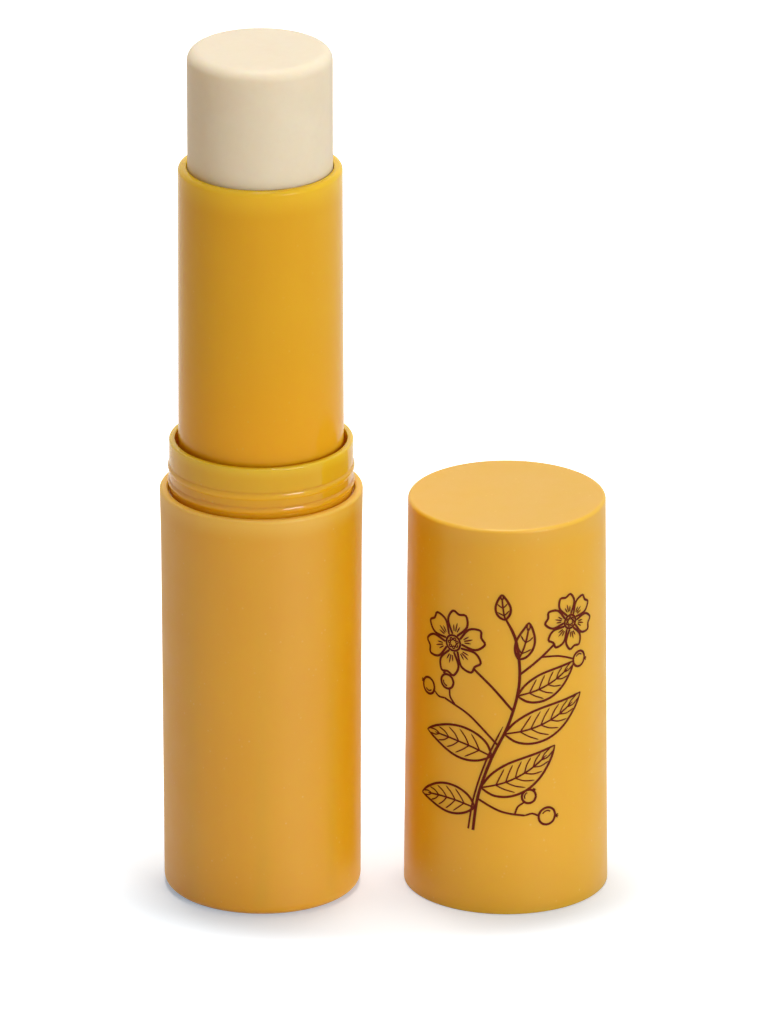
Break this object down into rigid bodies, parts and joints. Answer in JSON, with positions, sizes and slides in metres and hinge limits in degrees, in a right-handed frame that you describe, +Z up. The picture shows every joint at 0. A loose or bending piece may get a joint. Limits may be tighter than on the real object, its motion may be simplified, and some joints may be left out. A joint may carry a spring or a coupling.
{
  "type": "twist-up solid perfume",
  "caption": "Amber twist-up tube whose screwed rod raises a cream solid perfume stick through a long barrel, with its push-on cap standing beside it.",
  "frame": {"origin": "middle of the base's underside", "axes": "+Z up the tube's axis; +X towards the cap that stands beside the tube"},
  "size_m": [0.0443, 0.0211, 0.0874],
  "materials": {
    "shell_plastic": "satin, slightly translucent amber",
    "sleeve_plastic": "polished, slightly translucent amber",
    "barrel_plastic": "polished, slightly translucent amber",
    "inner_plastic": "as moulded, natural",
    "perfume_wax": "smooth cream wax",
    "ring_silicone": "silicone, greased"
  },
  "bodies": {
    "base": {"base_shell": "shell_plastic", "neck_sleeve": "sleeve_plastic", "drive_nut": "inner_plastic", "cap": "shell_plastic"},
    "barrel": {"barrel": "barrel_plastic", "friction_ring": "ring_silicone"},
    "stick": {"push_rod": "inner_plastic", "stick_holder": "inner_plastic", "perfume_stick": "perfume_wax"}
  },
  "joints": [
    {"name": "barrel_twist", "type": "hinge", "parent": "base", "child": "barrel", "pos_m": [0, 0, 0.0383], "axis": [0, 0, 1], "range_deg": [-773, 1061]},
    {"name": "stick_rise", "type": "slide", "parent": "barrel", "child": "stick", "axis": [0, 0, 1], "range_m": [-0.0129, 0.0177]}
  ],
  "couplings": [
    {"joint": "stick_rise", "follows": "barrel_twist", "m_per_rad": 0.00095493}
  ]
}
